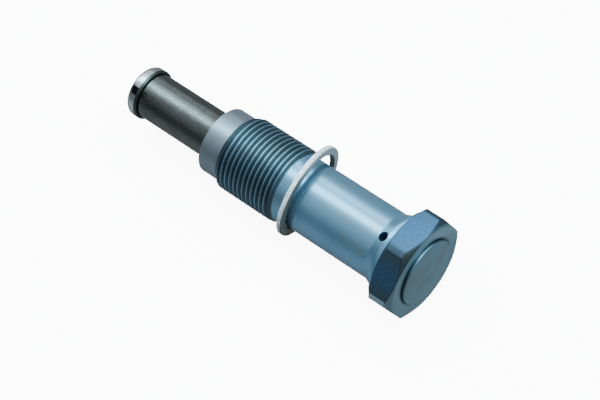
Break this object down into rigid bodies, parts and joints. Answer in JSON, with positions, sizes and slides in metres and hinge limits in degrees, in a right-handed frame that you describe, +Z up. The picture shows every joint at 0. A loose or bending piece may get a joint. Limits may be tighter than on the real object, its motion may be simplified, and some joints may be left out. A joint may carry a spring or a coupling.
{
  "type": "timing chain tensioner",
  "caption": "Screw-in hydraulic chain tensioner: hex-headed threaded housing, sprung steel plunger with polished cap, one-way valve and a loose seal ring.",
  "frame": {"origin": "on the screw axis, in the plane of the face under the hex head that clamps the seal ring", "axes": "+X along the screw axis towards the hex head, the plunger comes out towards -X; +Z up, square to one hex flat"},
  "size_m": [0.0993, 0.0302, 0.028],
  "materials": {
    "zinc_plated_steel": "satin blue zinc plate over fine turning",
    "soft_aluminium": "pale, slightly rough",
    "spring_steel": "dark drawn wire",
    "dark_ground_steel": "dark ground steel with fine scratches",
    "polished_steel": "mirror polished",
    "valve_steel": "plain bright steel",
    "ball_steel": "polished bearing ball",
    "moulded_plastic": "black moulding"
  },
  "bodies": {
    "housing": {"housing": "zinc_plated_steel", "seal_ring": "soft_aluminium", "stop_ring": "spring_steel", "valve_seat": "valve_steel", "valve_cage": "valve_steel", "filler_pin": "moulded_plastic", "tension_spring": "spring_steel", "valve_spring": "spring_steel"},
    "plunger": {"plunger": "dark_ground_steel", "thrust_cap": "polished_steel"},
    "check_ball": {"check_ball": "ball_steel"}
  },
  "joints": [
    {"name": "plunger_slide", "type": "slide", "parent": "housing", "child": "plunger", "axis": [1, 0, 0], "range_m": [0, 0.022], "stiffness_N_per_m": 3500, "springref_m": -0.02, "deforming": ["tension_spring"]},
    {"name": "check_ball_lift", "type": "slide", "parent": "housing", "child": "check_ball", "axis": [-1, 0, 0], "range_m": [0, 0.0008], "stiffness_N_per_m": 60, "springref_m": -0.0008, "deforming": ["valve_spring"]}
  ]
}
